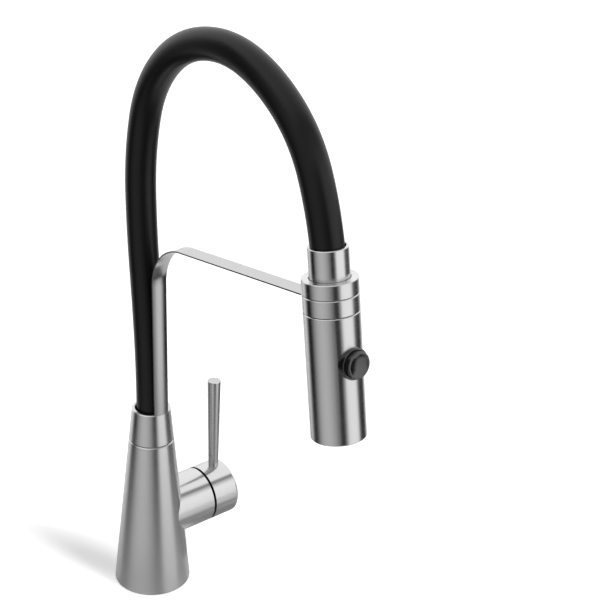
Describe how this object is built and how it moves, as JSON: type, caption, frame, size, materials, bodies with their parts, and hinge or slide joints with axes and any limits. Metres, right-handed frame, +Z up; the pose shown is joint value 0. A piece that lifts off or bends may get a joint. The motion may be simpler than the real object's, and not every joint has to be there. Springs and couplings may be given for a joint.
{
  "type": "pull-out kitchen mixer tap",
  "caption": "Deck-mounted single-lever kitchen mixer tap: conical steel body, side lever, strap arm, black arched hose and a pull-out spray head with a diverter button.",
  "frame": {"origin": "centre of the foot on the deck, midway between the two stud holes", "axes": "+Z up the body, -Y along the spout at rest, +X along the side handle"},
  "size_m": [0.0904, 0.2339, 0.4264],
  "materials": {
    "brushed_stainless": "fine brushed stainless steel",
    "polished_steel": "polished stainless steel",
    "dark_steel": "blackened spring and screw steel",
    "brass": "turned and cast brass",
    "black_hose_rubber": "smooth matt silicone rubber",
    "grey_inner_hose": "plain pressure hose",
    "black_rubber_seal": "moulded seal rubber",
    "black_plastic": "fine spark-eroded moulding",
    "grey_plastic": "satin moulding",
    "white_acetal": "machined acetal",
    "ceramic": "lapped alumina"
  },
  "bodies": {
    "base": {"lower_body": "brushed_stainless", "side_housing": "brushed_stainless", "mounting_foot": "brass", "base_gasket": "black_rubber_seal", "front_supply_pipe": "brass", "rear_supply_pipe": "brass", "valve_core": "brass", "cartridge_body": "white_acetal", "fixed_ceramic_disc": "ceramic", "cartridge_nut": "brass"},
    "mixing_carrier": {"stem_carrier": "white_acetal", "pivot_pin": "polished_steel"},
    "shutter_disc": {"moving_ceramic_disc": "ceramic"},
    "lever": {"valve_stem": "brass", "handle_cap": "brushed_stainless", "lever_pin": "polished_steel", "handle_grub_screw": "dark_steel"},
    "spout": {"swivel_collar": "brushed_stainless", "swivel_bush": "white_acetal", "swivel_screw": "dark_steel", "lower_hose_fitting": "brass", "spigot_seals": "black_rubber_seal", "hose_cover": "black_hose_rubber", "inner_hose": "grey_inner_hose", "strap_arm": "brushed_stainless", "docking_ring": "brushed_stainless", "guide_collar": "brushed_stainless", "guide_bush": "black_plastic"},
    "spray_head": {"hose_ferrule": "brushed_stainless", "head_shell": "brushed_stainless", "head_connector": "brass", "spray_core": "black_plastic", "check_valve": "white_acetal", "nozzle_seal": "black_rubber_seal", "nozzle_plate": "grey_plastic", "aerator_housing": "black_plastic", "aerator_flow_core": "grey_plastic", "aerator_screen": "black_plastic", "button_bezel": "black_plastic", "button_spring": "dark_steel"},
    "button": {"button_cap": "black_plastic", "diverter_spool": "white_acetal"}
  },
  "joints": [
    {"name": "spout_swivel", "type": "hinge", "parent": "base", "child": "spout", "pos_m": [0, 0, 0.115], "axis": [0, 0, 1], "range_deg": [-150, 150]},
    {"name": "spray_pull_out", "type": "slide", "parent": "spout", "child": "spray_head", "axis": [0, -0.1426, -0.9898], "range_m": [0, 0.09], "deforming": ["hose_cover", "inner_hose"]},
    {"name": "temperature_turn", "type": "hinge", "parent": "base", "child": "mixing_carrier", "pos_m": [0.0277, 0, 0.0522], "axis": [1, 0, 0], "range_deg": [-45, 45]},
    {"name": "flow_tilt", "type": "hinge", "parent": "mixing_carrier", "child": "lever", "pos_m": [0.0277, 0, 0.0522], "axis": [0, 1, 0], "range_deg": [0, 22]},
    {"name": "shutter_slide", "type": "slide", "parent": "mixing_carrier", "child": "shutter_disc", "axis": [0, 0, 1], "range_m": [0, 0.0026]},
    {"name": "button_press", "type": "slide", "parent": "spray_head", "child": "button", "axis": [0, 0.9898, -0.1426], "range_m": [0, 0.002], "stiffness_N_per_m": 500, "deforming": ["button_spring"]}
  ],
  "couplings": [
    {"joint": "shutter_slide", "follows": "flow_tilt", "m_per_rad": 0.00665}
  ]
}
